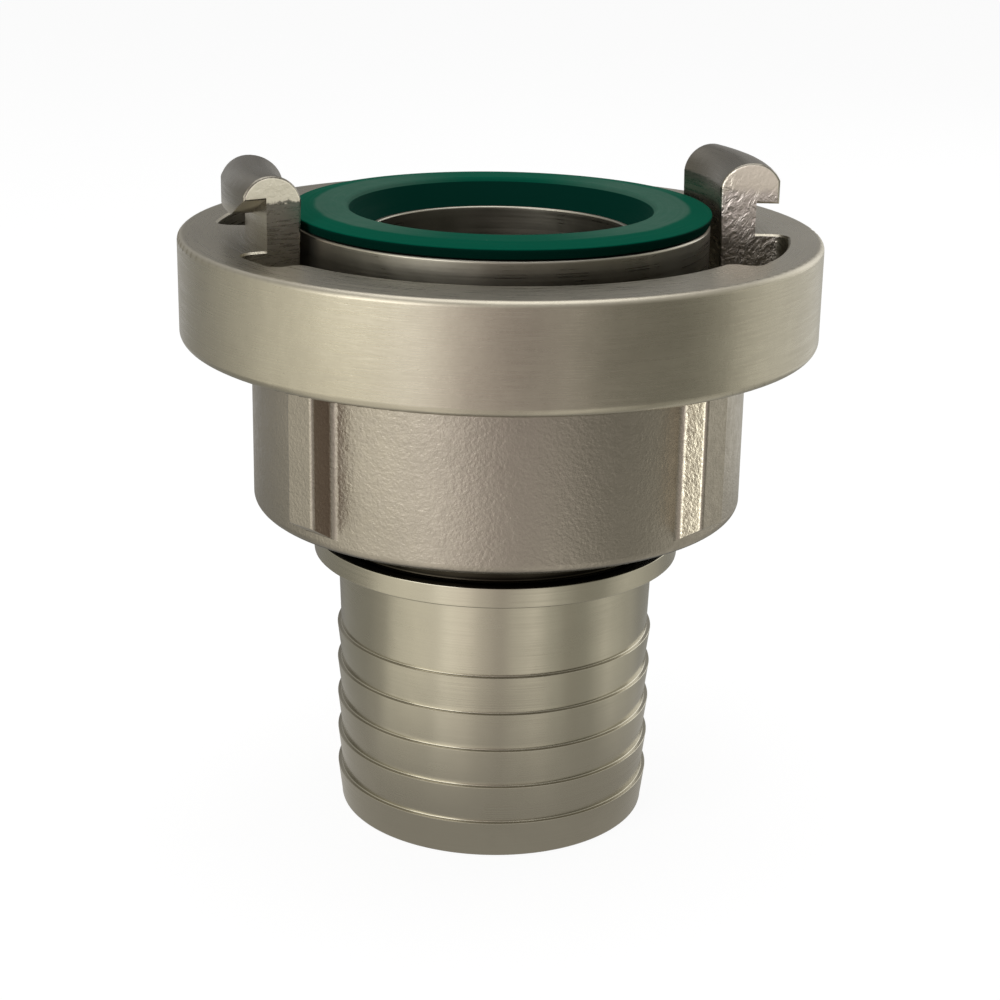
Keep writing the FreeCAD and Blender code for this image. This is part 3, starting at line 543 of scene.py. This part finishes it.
def cast_steel(colours, size):
    """Stainless casting: brushed rim, grainy skirt, and rough walls where no tool has been."""
    sheet = Finish("cast_steel")
    place, ramp, fall, times, larger = (
        sheet.place, sheet.ramp, sheet.fall, sheet.times, sheet.larger
    )
    normal = sheet.round_edge(
        sheet.normal, size.rim - size.top_round, size.top - size.top_round, "GREATER_THAN"
    )
    normal = sheet.round_edge(
        normal, size.rim - size.low_round, size.rim_low + size.low_round, "LESS_THAN"
    )

    # Where each finish is: end walls of lugs, windows and ribs face round the axis
    facing = sheet.vector("DOT_PRODUCT", normal, sheet.vector("CROSS_PRODUCT", UP, sheet.out_way))
    upward = sheet.add("ShaderNodeSeparateXYZ", Vector=normal).outputs["Z"]
    skirt = fall(sheet.z, size.rim_low - SKIRT_BLEND, size.rim_low)
    above = sheet.sum("SUBTRACT", 1.0, skirt)
    trailing = fall(facing, *TRAILING)
    leading = ramp(facing, *LEADING)
    end_wall = larger(trailing, leading)
    foundry = times(trailing, above)
    # Painted light on the ribs' trailing sides, painted shade on their leading sides
    rib_painted_light = times(trailing, skirt)
    rib_shaded = times(leading, skirt)
    # Painted shade on the faces that look down near the skirt's foot
    underside = times(fall(upward, *DOWNWARD), fall(sheet.z, *SKIRT_FOOT))
    edge = times(sheet.band(upward, *EDGE_ROUND), ramp(sheet.radius, *RIM_EDGE))
    ragged = sheet.noise(place, 900.0, 3.0, 0.6)
    cap_line = sheet.sway(sheet.z, ragged, 2.6 / MM)
    # The ground caps: a ground finish, brightened as a painted highlight
    cap = times(leading, ramp(cap_line, *GROUND_CAP))
    # Painted reflection on the hooks' lead-in slopes, joined to the caps in the ground mask
    lead_in = times(sheet.band(facing, *LEAD_IN), fall(upward, *NOT_DOWN))
    ground = larger(cap, lead_in)
    # Painted shade low on the end walls, ending upwards along a ragged line
    out_of_wall_shade = ramp(sheet.sway(sheet.z, ragged, 3.0 / MM), *WALL_SHADE_END)

    # Patterns: broad stains, a fine mottle, tool marks and small pits
    stain = ramp(sheet.noise(place, 48.0, 3.0, 0.6, 0.5), 0.35, 0.7)
    mottle = sheet.noise(place, 700.0, 3.0, 0.65)
    turned_marks = sheet.noise(sheet.round_marks(8.0 / MM, 0.30 / MM), 1.0, 4.0, 0.7)
    level_marks = sheet.noise(sheet.wall_marks(0.0, 5.0 / MM, 0.35 / MM), 1.0, 3.0, 0.6)
    marks = sheet.blend(end_wall, turned_marks, level_marks)
    pits = ramp(sheet.noise(place, 1300.0, 2.0, 0.6), 0.70, 0.78)

    # Colour: the patterns darken rim and skirt; the walls then get painted shade low down and
    # painted light high up
    tint = sheet.sum("MULTIPLY_ADD", mottle, 0.4, times(stain, 0.35))
    streaks = sheet.blend(larger(skirt, times(end_wall, 0.7)), 0.35, 0.0)
    tint = sheet.sum("MULTIPLY_ADD", marks, streaks, tint)
    tint = larger(tint, times(pits, 0.9))
    rim_colour = sheet.mix_colour(tint, colours.cast, colours.cast_dark)
    skirt_colour = sheet.mix_colour(tint, colours.skirt, colours.skirt_dark)
    wall_colour = sheet.mix_colour(out_of_wall_shade, colours.cast_wall_shade, colours.cast_bright)
    # Painted light: the end walls' tops go over into the bright ground colour
    wall_top_light = times(ramp(cap_line, *END_TOP_LIGHT), 0.60)
    wall_colour = sheet.mix_colour(wall_top_light, wall_colour, colours.cast_ground_and_highlight)
    # Painted light on the lugs' leading faces, stronger upwards
    lug_painted_light = times(times(leading, above), ramp(sheet.z, *LUG_LIGHT_RISE, 0.0, 0.70))
    base = sheet.mix_colour(skirt, rim_colour, skirt_colour)
    for mask, shade in (
        (times(ramp(sheet.z, *HOOK), 0.85), colours.cast_hook),
        (foundry, wall_colour),
        (times(rib_painted_light, ramp(mottle, 0.35, 0.6, 0.6, 1.0)), colours.cast_ground_and_highlight),
        (times(rib_shaded, 0.9), colours.rib_shade),
        (lug_painted_light, colours.cast_bright),
        (underside, colours.skirt_underside_shade),
        (ground, colours.cast_ground_and_highlight),
    ):
        base = sheet.mix_colour(mask, base, shade)

    # Roughness: the rim is rubbed smooth, the rest is left as blasted
    rim_rough = ramp(marks, 0.3, 0.7, 0.24, 0.36)
    skirt_rough = ramp(mottle, 0.3, 0.7, 0.30, 0.42)
    roughness = sheet.blend(skirt, rim_rough, skirt_rough)
    roughness = sheet.blend(larger(foundry, times(end_wall, skirt)), roughness, 0.36)
    roughness = sheet.blend(ground, roughness, 0.45)
    roughness = sheet.blend(edge, roughness, 0.42)

    # Relief in metres: long swells, grain, brush marks, and the foundry's crumpled skin
    swell = sheet.noise(place, 90.0, 2.0, 0.5)
    grain = sheet.noise(place, 2100.0, 3.0, 0.6)
    peel = sheet.noise(place, 1050.0, 2.0, 0.5)
    waves = sheet.noise(sheet.round_marks(4.5 / MM, 0.85 / MM), 1.0, 3.0, 0.6, 0.7)
    sparkle = sheet.noise(place, 1900.0, 2.0, 0.5)
    creases = sheet.noise(sheet.wall_marks(58.0, 3.0 / MM, 1.25 / MM), 1.0, 3.0, 0.60, 1.8)
    crumple = sheet.noise(place, 900.0, 3.0, 0.6, 0.5)
    unmarked = larger(larger(skirt, edge), end_wall)
    crease_depth = sheet.blend(ramp(sheet.z, *HOOK_SMOOTH), 0.19 / MM, 0.035 / MM)
    crumple_depth = sheet.blend(
        fall(sheet.radius, *CHANNEL_HEM), sheet.blend(out_of_wall_shade, 0.26 / MM, 0.035 / MM), 0.22 / MM
    )
    height = 0.0
    for pattern, depth in (
        (swell, 0.10 / MM),
        (grain, sheet.blend(skirt, 0.006 / MM, 0.060 / MM)),
        (peel, sheet.blend(skirt, 0.005 / MM, 0.045 / MM)),
        (marks, sheet.blend(unmarked, 0.006 / MM, 0.001 / MM)),
        (waves, times(above, 0.022 / MM)),
        (creases, times(foundry, crease_depth)),
        (crumple, times(foundry, crumple_depth)),
        (sparkle, times(rib_painted_light, 0.11 / MM)),
        (crumple, times(cap, 0.09 / MM)),
    ):
        height = sheet.sway(height, pattern, depth)
    height = sheet.sum("MULTIPLY_ADD", pits, -0.012 / MM, height)
    relief = sheet.bump(height, sheet.leaned(normal, cap, CAP_LEAN))
    return sheet.done(base, roughness, relief, 1.0)


# The tail's head, and the relief in the gap below the ring, painted near black as painted shade
HEAD = (0.0700, 0.0720)
GAP_LOW = (0.04600, 0.04615)
GAP_HIGH = (0.0572, 0.0576)
GAP_OUTER = (0.0284, 0.0288)
GAP_INNER = (0.0210, 0.0220)


def turned_steel(colours):
    """Stainless bar turned on a lathe: fine rings and smudges, nearly a mirror."""
    sheet = Finish("turned_steel")
    rings = sheet.noise(sheet.round_marks(60.0 / MM, 0.22 / MM), 1.0, 3.0, 0.6)
    wide_rings = sheet.noise(sheet.round_marks(90.0 / MM, 1.8 / MM), 1.0, 2.0, 0.5)
    smudge = sheet.ramp(sheet.noise(sheet.place, 60.0, 4.0, 0.6, 0.4), 0.38, 0.68)
    dents = sheet.noise(sheet.place, 75.0, 2.0, 0.5)
    head = sheet.ramp(sheet.z, *HEAD)
    gap = sheet.times(sheet.ramp(sheet.z, *GAP_LOW), sheet.fall(sheet.z, *GAP_HIGH))
    gap = sheet.times(gap, sheet.fall(sheet.radius, *GAP_OUTER))
    gap = sheet.times(gap, sheet.ramp(sheet.radius, *GAP_INNER))

    ring_tint = sheet.blend(head, 0.45, 0.15)
    tint = sheet.sum("MULTIPLY_ADD", rings, ring_tint, sheet.times(smudge, 0.35))
    base = sheet.mix_colour(tint, colours.turned, colours.turned_dark)
    base = sheet.mix_colour(sheet.times(head, 0.9), base, colours.turned_head)
    # Painted shade: the relief in the gap below the ring turns near black
    base = sheet.mix_colour(gap, base, colours.turned_gap_shade)
    ring_rough = sheet.ramp(rings, 0.3, 0.7, 0.14, 0.24)
    roughness = sheet.sum("ADD", ring_rough, sheet.times(smudge, 0.08))
    roughness = sheet.sum("MULTIPLY_ADD", head, 0.11, roughness)
    height = sheet.sway(0.0, wide_rings, sheet.blend(head, 0.012 / MM, 0.004 / MM))
    height = sheet.sway(height, rings, sheet.blend(head, 0.0025 / MM, 0.001 / MM))
    height = sheet.sway(height, dents, 0.03 / MM)
    return sheet.done(base, roughness, sheet.bump(height), 1.0)


# Height where the seal's walls end and its face starts
SEAL_FACE = (0.09752, 0.09766)
# The painted sheen on the inner half fades where the seal points to the front and the back
SEAL_SIDES = (0.20, 0.80, 0.04, 1.0)
RUBBER_GLOSS = 0.004


def green_rubber(colours, crease):
    """Moulded elastomer: painted sheen inside the crease, deep green outside it, and walls near
    black as painted shade.
    """
    sheet = Finish("green_rubber")
    rings = sheet.noise(sheet.round_marks(30.0 / MM, 0.45 / MM), 1.0, 3.0, 0.6)
    blotches = sheet.noise(sheet.place, 420.0, 3.0, 0.7)
    cloud = sheet.noise(sheet.place, 110.0, 3.0, 0.6)
    specks = sheet.ramp(sheet.noise(sheet.place, 1500.0, 2.0, 0.5), 0.76, 0.80)
    across = sheet.add("ShaderNodeSeparateXYZ", Vector=sheet.out_way).outputs["X"]
    sides = sheet.ramp(sheet.sum("ABSOLUTE", across), *SEAL_SIDES)
    on_face = sheet.ramp(sheet.z, *SEAL_FACE)
    border = sheet.sway(sheet.radius, cloud, 1.2 / MM)
    inner_half = sheet.times(sheet.fall(border, crease - 0.5 / MM, crease + 0.3 / MM), on_face)

    # Painted sheen on the inner half, uneven in blotches and fading to the front and the back
    pale = sheet.times(sheet.times(inner_half, sides), sheet.ramp(blotches, 0.25, 0.75, 0.80, 1.0))
    pale = sheet.sum("MULTIPLY_ADD", sheet.ramp(rings, 0.45, 0.75), 0.06, pale)
    face = sheet.mix_colour(pale, colours.rubber, colours.rubber_sheen)
    face = sheet.mix_colour(sheet.times(specks, inner_half), face, colours.rubber_speck)
    # Painted shade: the walls below the face turn near black
    base = sheet.mix_colour(on_face, colours.rubber_wall_shade, face)
    roughness = sheet.ramp(rings, 0.3, 0.7, 0.42, 0.54)
    height = sheet.sway(sheet.sway(0.0, rings, 0.006 / MM), blotches, 0.006 / MM)
    return sheet.done(base, roughness, sheet.bump(height), 0.0, RUBBER_GLOSS)


def spring_wire(colours):
    """Drawn spring wire with fine marks along it."""
    sheet = Finish("spring_wire")
    marks = sheet.noise(sheet.round_marks(12.0 / MM, 0.15 / MM), 1.0, 3.0, 0.6)
    base = sheet.mix_colour(sheet.times(marks, 0.5), colours.wire, colours.wire_dark)
    roughness = sheet.ramp(marks, 0.3, 0.7, 0.24, 0.38)
    return sheet.done(base, roughness, sheet.bump(sheet.sway(0.0, marks, 0.004 / MM)), 1.0)


# The pieces. A profile's corner is a radius, a height and, where it is rounded, its round

class COUPLING_OT_hose_tail(bpy.types.Operator):
    """Turn the hose tail with its barbs, its shoulder and its head"""

    bl_idname = "coupling.hose_tail"
    bl_label = "Hose tail"

    def execute(self, context):
        size = context.scene.coupling_tail
        corners = [(size.bore, 0.0, 0.00035), (size.root, 0.0, 0.0005)]
        for number in range(size.barbs):
            crest = size.first_crest + number * size.pitch
            corners += [
                (size.root, crest - size.barb_run),
                (size.crest, crest, 0.00012),
                (size.root, crest, 0.00014),
            ]
        corners += [
            (size.swell, size.shoulder_low, 0.0003),
            (size.shoulder, size.shoulder_low, 0.0003),
            (size.shoulder, size.shoulder_high, 0.00015),
            (size.relief, size.shoulder_high, 0.0005),
            (size.relief, size.relief_high, 0.0005),
            (size.shoulder, size.relief_high, 0.0002),
            (size.shoulder, size.groove_low, 0.0001),
            (size.groove, size.groove_low, 0.0001),
            (size.groove, size.groove_high, 0.0001),
            (size.shoulder, size.groove_high, 0.0001),
            (size.shoulder, size.head_low, 0.0002),
            (size.head, size.head_low, 0.0004),
            (size.head, size.head_high, 0.0004),
            (size.collar, size.head_high, 0.00025),
            (size.collar, size.pocket_floor, 0.0002),
            (size.land, size.pocket_floor, 0.0002),
            (size.land, size.land_high, 0.0002),
            (size.bore, size.land_high, 0.0003),
        ]
        piece = turn_piece("hose_tail_turned", corners, size.steps)
        steel = turned_steel(context.scene.coupling_finish)
        finish_piece(piece, "tail_body", "hose_tail", steel)
        return {"FINISHED"}


class COUPLING_OT_face_seal(bpy.types.Operator):
    """Mould the green seal that stands proud of the head"""

    bl_idname = "coupling.face_seal"
    bl_label = "Face seal"

    def execute(self, context):
        size = context.scene.coupling_seal
        corners = [
            (size.toe, size.toe_high, 0.0001),
            (size.seat_in, size.toe_high, 0.0001),
            (size.seat_in, size.floor, 0.0003),
            (size.seat_out, size.floor, 0.0003),
            (size.seat_out, size.seat_high, 0.0001),
            (size.undercut, size.seat_high, 0.00015),
            (size.rim, size.lip_low, 0.00014),
            (size.rim, size.lip_high, 0.0002),
            (size.crease, size.face, 0.0004),
            (size.mouth, size.face, 0.00045),
        ]
        piece = turn_piece("face_seal_moulded", corners, size.steps)
        rubber = green_rubber(context.scene.coupling_finish, size.crease)
        finish_piece(piece, "tail_body", "face_seal", rubber)
        return {"FINISHED"}


class COUPLING_OT_snap_ring(bpy.types.Operator):
    """Bend the split wire ring that keeps the lug ring on the tail"""

    bl_idname = "coupling.snap_ring"
    bl_label = "Snap ring"

    def execute(self, context):
        size = context.scene.coupling_wire
        bpy.ops.object.select_all(action="DESELECT")
        bpy.ops.mesh.primitive_circle_add(
            vertices=size.sides, radius=size.wire, fill_type="NGON",
            location=(size.ring, 0, size.height), rotation=(math.pi / 2, 0, 0),
        )
        piece = context.object
        piece.name = "snap_ring_bent"
        bpy.ops.object.transform_apply(location=True, rotation=True, scale=True)
        bpy.ops.object.mode_set(mode="EDIT")
        spin_section(FULL_TURN - size.split, size.steps)
        close_mesh()
        bpy.ops.object.mode_set(mode="OBJECT")
        ends = piece.modifiers.new("end breaks", "BEVEL")
        ends.width = size.end_break
        ends.segments = 2
        ends.limit_method = "ANGLE"
        ends.angle_limit = math.radians(60)
        bpy.ops.object.modifier_apply(modifier=ends.name)
        bpy.ops.object.mode_set(mode="EDIT")
        close_mesh()
        steel = spring_wire(context.scene.coupling_finish)
        finish_piece(piece, "tail_body", "snap_ring", steel)
        return {"FINISHED"}


class COUPLING_OT_lug_ring(bpy.types.Operator):
    """Finish the cast ring with its lugs, lips and spanner ribs"""

    bl_idname = "coupling.lug_ring"
    bl_label = "Lug ring"

    def execute(self, context):
        size = context.scene.coupling_ring
        piece = joined_copy("lug_ring", "lug_ring_cast", size.joined)
        thicken_lugs(piece, size)
        steel = cast_steel(context.scene.coupling_finish, size)
        finish_piece(piece, "ring_body", "lug_ring", steel, size.smooth)
        return {"FINISHED"}


# The stage

# Brightness of the studio's walls by the way from the coupling: 0 the front, 90 the right
STUDIO_WALLS = (
    (-180, (0.215, 0.210, 0.198)),
    (-177, (0.310, 0.302, 0.285)),
    (-171, (0.310, 0.302, 0.285)),
    (-150, (0.62, 0.61, 0.59)),
    (-125, (0.44, 0.43, 0.39)),
    (-100, (0.77, 0.75, 0.66)),
    (-72, (1.38, 1.34, 1.16)),
    (-50, (1.80, 1.74, 1.50)),
    (-33, (1.68, 1.61, 1.45)),
    (-30, (2.00, 1.95, 1.85)),
    (-22, (2.00, 1.92, 1.82)),
    (-19, (1.62, 1.50, 1.43)),
    (-6, (1.02, 0.91, 0.87)),
    (3, (0.68, 0.60, 0.57)),
    (14, (0.57, 0.52, 0.49)),
    (18, (0.82, 0.76, 0.71)),
    (26, (0.80, 0.75, 0.69)),
    (31, (0.44, 0.42, 0.37)),
    (62, (0.37, 0.36, 0.31)),
    (78, (0.52, 0.51, 0.44)),
    (88, (1.12, 1.10, 0.97)),
    (104, (1.22, 1.20, 1.08)),
    (135, (1.08, 1.06, 0.97)),
    (160, (0.55, 0.54, 0.51)),
    (172, (0.44, 0.43, 0.41)),
    (176, (0.46, 0.45, 0.43)),
    (180, (0.215, 0.210, 0.198)),
)
# The same for the floor close to the coupling, which the tail shows
STUDIO_NEAR = (
    (-180, (0.38, 0.37, 0.34)),
    (-150, (0.30, 0.29, 0.27)),
    (-125, (0.42, 0.41, 0.37)),
    (-96, (0.44, 0.43, 0.38)),
    (-80, (0.58, 0.56, 0.49)),
    (-66, (1.15, 1.11, 0.97)),
    (-50, (1.32, 1.27, 1.11)),
    (-38, (1.28, 1.23, 1.09)),
    (-30, (1.66, 1.60, 1.44)),
    (-18, (1.52, 1.44, 1.30)),
    (-6, (0.98, 0.92, 0.83)),
    (4, (0.72, 0.67, 0.61)),
    (15, (1.00, 0.96, 0.86)),
    (26, (1.24, 1.19, 1.07)),
    (38, (0.78, 0.76, 0.67)),
    (50, (0.54, 0.52, 0.45)),
    (62, (0.54, 0.53, 0.46)),
    (72, (0.78, 0.76, 0.67)),
    (80, (1.00, 0.97, 0.86)),
    (92, (0.84, 0.82, 0.72)),
    (104, (0.68, 0.66, 0.58)),
    (127, (0.42, 0.41, 0.37)),
    (152, (0.38, 0.37, 0.34)),
    (180, (0.38, 0.37, 0.34)),
)
# The brightest tone of both rings of walls
BRIGHTEST = 2.0
# The ceiling, and how far up a way points where the walls go over into it
CEILING = (0.42, 0.41, 0.39)
CEILING_START = (0.35, 0.75)
# The floor under the tail, dark as a painted shadow of the coupling in the metal, how far out it
# goes over into the near floor, and that into the walls
FLOOR_FOOT_SHADOW = (0.26, 0.25, 0.23)
FOOT_END = (0.03, 0.075)
NEAR_END = (0.165, 0.215)
FLOOR_RADIUS = 1.6
# The floor's paint, and the white glow that the camera sees over most of it
FLOOR_PAINT = (0.86, 0.86, 0.86, 1)
FLOOR_GLOW = 1.07
FLOOR_GLOW_SHARE = 0.86
WHITE = (1, 1, 1, 1)
# The point that the lights look at
WAIST = (0, 0, 0.07)


def studio_walls(nodes, way, walls):
    """Colour of the studio in a direction, by its bearing from the coupling."""
    split = nodes.add("ShaderNodeSeparateXYZ", {}, {0: way})
    front = nodes.times(split.outputs["Y"], -1.0)
    bearing = nodes.sum("ARCTAN2", split.outputs["X"], front)
    turn = nodes.sum("MULTIPLY_ADD", bearing, 1 / FULL_TURN, 0.5)
    ramp = nodes.add("ShaderNodeValToRGB", {}, {0: turn})
    ramp.color_ramp.interpolation = "EASE"
    stops = ramp.color_ramp.elements
    while len(stops) > 1:
        stops.remove(stops[-1])
    for number, (degrees, shade) in enumerate(walls):
        spot = (degrees + 180) / 360
        stop = stops[0] if number == 0 else stops.new(spot)
        stop.position = spot
        stop.color = (*(part / BRIGHTEST for part in shade), 1.0)
    return ramp.outputs[0]


def in_view(nodes, path):
    """1 for the camera's rays, also through glass, and 0 for all others."""
    return nodes.larger(path.outputs["Is Camera Ray"], path.outputs["Is Transmission Ray"])


def studio_room(room_light, walls):
    """The room: white behind the coupling, and its walls' soft light and shade in the metal."""
    world = bpy.data.worlds.new("room")
    nodes = Nodes(world)
    path = nodes.add("ShaderNodeLightPath")
    way = nodes.add("ShaderNodeTexCoord").outputs["Generated"]
    rise = nodes.add("ShaderNodeSeparateXYZ", {}, {0: way}).outputs["Z"]
    shade = nodes.mix_colour(
        nodes.ramp(rise, *CEILING_START), studio_walls(nodes, way, STUDIO_WALLS), CEILING
    )
    in_metal = nodes.add("ShaderNodeBackground", Color=shade, Strength=BRIGHTEST * walls)
    fill = nodes.add("ShaderNodeBackground", Color=WHITE, Strength=room_light)
    backdrop = nodes.add("ShaderNodeBackground", Color=WHITE, Strength=1.0)
    light = nodes.mix_shader(path.outputs["Is Glossy Ray"], fill.outputs[0], in_metal.outputs[0])
    whole = nodes.mix_shader(in_view(nodes, path), light, backdrop.outputs[0])
    nodes.add("ShaderNodeOutputWorld", {}, {0: whole})
    return world


def floor_paint(walls):
    """Matt white paint that melts into the background, and the walls' light in the metal."""
    material = bpy.data.materials.new("floor_paint")
    nodes = Nodes(material)
    path = nodes.add("ShaderNodeLightPath")
    place = nodes.add("ShaderNodeTexCoord").outputs["Object"]
    far = nodes.vector("LENGTH", place)
    shade = nodes.mix_colour(
        nodes.ramp(far, *FOOT_END), FLOOR_FOOT_SHADOW, studio_walls(nodes, place, STUDIO_NEAR)
    )
    shade = nodes.mix_colour(
        nodes.ramp(far, *NEAR_END), shade, studio_walls(nodes, place, STUDIO_WALLS)
    )
    matt = nodes.add("ShaderNodeBsdfDiffuse", Color=FLOOR_PAINT)
    in_metal = nodes.add("ShaderNodeEmission", Color=shade, Strength=BRIGHTEST * walls)
    glow = nodes.add("ShaderNodeEmission", Color=WHITE, Strength=FLOOR_GLOW)
    light = nodes.mix_shader(path.outputs["Is Glossy Ray"], matt.outputs[0], in_metal.outputs[0])
    share = nodes.times(in_view(nodes, path), FLOOR_GLOW_SHARE)
    nodes.add("ShaderNodeOutputMaterial", {}, {0: nodes.mix_shader(share, light, glow.outputs[0])})
    return material


def add_light(name, place, spread, power):
    """A soft area light that looks at the coupling's waist."""
    bpy.ops.object.light_add(type="AREA", location=place)
    light = bpy.context.object
    light.name = name
    light.data.shape = "RECTANGLE"
    light.data.size, light.data.size_y = spread
    light.data.energy = power
    light.rotation_euler = (Vector(WAIST) - Vector(place)).to_track_quat("-Z", "Y").to_euler()


class COUPLING_OT_stage(bpy.types.Operator):
    """Set the pale floor, the soft lights and the camera"""

    bl_idname = "coupling.stage"
    bl_label = "Stage"

    def execute(self, context):
        size = context.scene.coupling_stage
        scene = context.scene
        bpy.ops.object.select_all(action="DESELECT")

        bpy.ops.object.camera_add(location=(size.side, -size.distance, size.height))
        camera = context.object
        camera.name = "camera"
        tilt = Euler((math.pi / 2 - size.pitch, 0, 0)).to_matrix()
        camera.rotation_euler = (tilt @ Matrix.Rotation(size.roll, 3, "Z")).to_euler()
        camera.data.sensor_width = 36
        camera.data.lens = size.lens
        camera.data.clip_start = 0.01
        scene.camera = camera

        bpy.ops.mesh.primitive_circle_add(
            vertices=96, radius=FLOOR_RADIUS, fill_type="NGON", location=(0, 0, 0)
        )
        floor = context.object
        floor.name = "floor"
        floor.data.materials.append(floor_paint(size.walls))

        add_light("key_light", (-0.55, -0.62, 0.32), (0.55, 0.60), size.key)
        add_light("rear_light", (0.55, 0.50, 0.30), (0.45, 0.5), size.rear)
        add_light("top_light", (0.0, 0.05, 0.80), (0.7, 0.7), size.top)

        scene.world = studio_room(size.room, size.walls)
        scene.view_settings.view_transform = "Standard"
        return {"FINISHED"}


# Each operator with the sizes that it reads
STEPS = (
    (COUPLING_OT_hose_tail, "coupling_tail"),
    (COUPLING_OT_face_seal, "coupling_seal"),
    (COUPLING_OT_snap_ring, "coupling_wire"),
    (COUPLING_OT_lug_ring, "coupling_ring"),
    (COUPLING_OT_stage, "coupling_stage"),
)
FINISHES = "coupling_finish"


class COUPLING_PT_panel(bpy.types.Panel):
    """Lists the coupling's pieces, sizes and colours"""

    bl_label = "Hose coupling"
    bl_idname = "COUPLING_PT_panel"
    bl_space_type = "VIEW_3D"
    bl_region_type = "UI"
    bl_category = "Coupling"

    def draw(self, context):
        for operator, sizes in STEPS:
            box = self.layout.box()
            box.operator(operator.bl_idname)
            self.list_values(box, getattr(context.scene, sizes))
        self.list_values(self.layout.box(), getattr(context.scene, FINISHES))

    @staticmethod
    def list_values(box, group):
        """One line for each size or colour of a group."""
        for name in group.bl_rna.properties.keys():
            if name not in ("rna_type", "name"):
                box.prop(group, name)


GROUPS = {
    "coupling_tail": TailSizes,
    "coupling_seal": SealSizes,
    "coupling_ring": RingSizes,
    "coupling_wire": WireSizes,
    FINISHES: Finishes,
    "coupling_stage": StageSizes,
}


def register():
    for name, group in GROUPS.items():
        bpy.utils.register_class(group)
        setattr(bpy.types.Scene, name, bpy.props.PointerProperty(type=group))
    for operator, _ in STEPS:
        bpy.utils.register_class(operator)
    bpy.utils.register_class(COUPLING_PT_panel)


def unregister():
    bpy.utils.unregister_class(COUPLING_PT_panel)
    for operator, _ in STEPS:
        bpy.utils.unregister_class(operator)
    for name, group in GROUPS.items():
        delattr(bpy.types.Scene, name)
        bpy.utils.unregister_class(group)


def main():
    register()
    bpy.ops.coupling.hose_tail()
    bpy.ops.coupling.face_seal()
    bpy.ops.coupling.snap_ring()
    bpy.ops.coupling.lug_ring()
    bpy.ops.coupling.stage()


if __name__ == "__main__":
    main()
